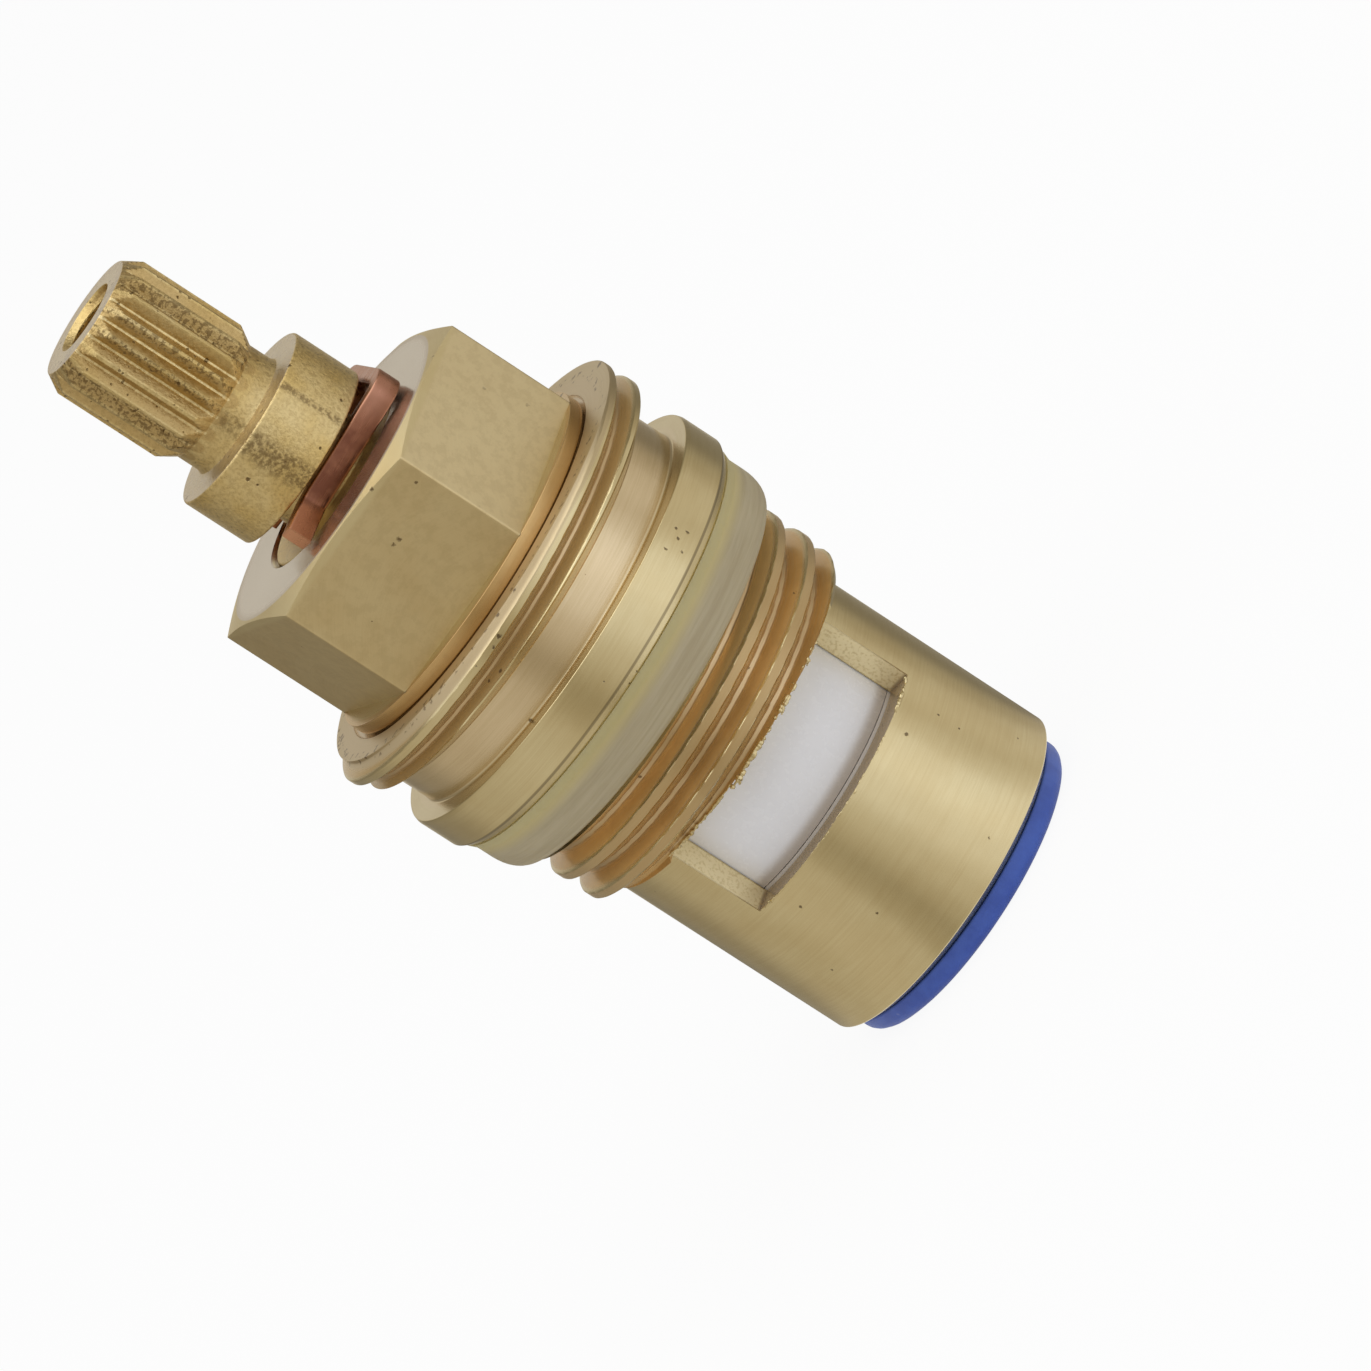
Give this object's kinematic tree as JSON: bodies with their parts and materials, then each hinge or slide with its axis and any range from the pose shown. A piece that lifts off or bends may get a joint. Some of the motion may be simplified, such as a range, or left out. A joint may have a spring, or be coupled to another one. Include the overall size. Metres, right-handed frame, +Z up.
{
  "type": "ceramic disc tap cartridge",
  "caption": "Half-inch quarter-turn tap cartridge: brass hexagon body with thread and windowed sleeve, splined spindle, ceramic discs, washer, clip and blue base seal.",
  "frame": {"origin": "centre of the base seal's lower face, on which the cartridge stands", "axes": "+Z up along the spindle, towards its splined end; -Y through the middle of one water window; the clip's closed back is towards +X"},
  "size_m": [0.0242, 0.0242, 0.0535],
  "materials": {
    "body_brass": "turned and machined, satin",
    "spindle_brass": "rough turned, gritty spline",
    "copper": "copper-coloured phosphor bronze strip",
    "white_ceramic": "lapped white alumina",
    "blue_rubber": "matt blue silicone",
    "black_rubber": "greased black rubber",
    "cream_nylon": "translucent cream",
    "white_plastic": "moulded off-white"
  },
  "bodies": {
    "housing": {"headwork_body": "body_brass", "fixed_disc": "white_ceramic", "base_seal": "blue_rubber", "support_ring": "white_plastic", "body_washer": "cream_nylon"},
    "turning_spindle": {"spindle": "spindle_brass", "retaining_clip": "copper", "upper_o_ring": "black_rubber", "lower_o_ring": "black_rubber", "thrust_washer": "white_plastic", "moving_disc": "white_ceramic"}
  },
  "joints": [
    {"name": "spindle_turn", "type": "hinge", "parent": "housing", "child": "turning_spindle", "pos_m": [0, 0, 0.03], "axis": [0, 0, 1], "range_deg": [0, 90]}
  ]
}
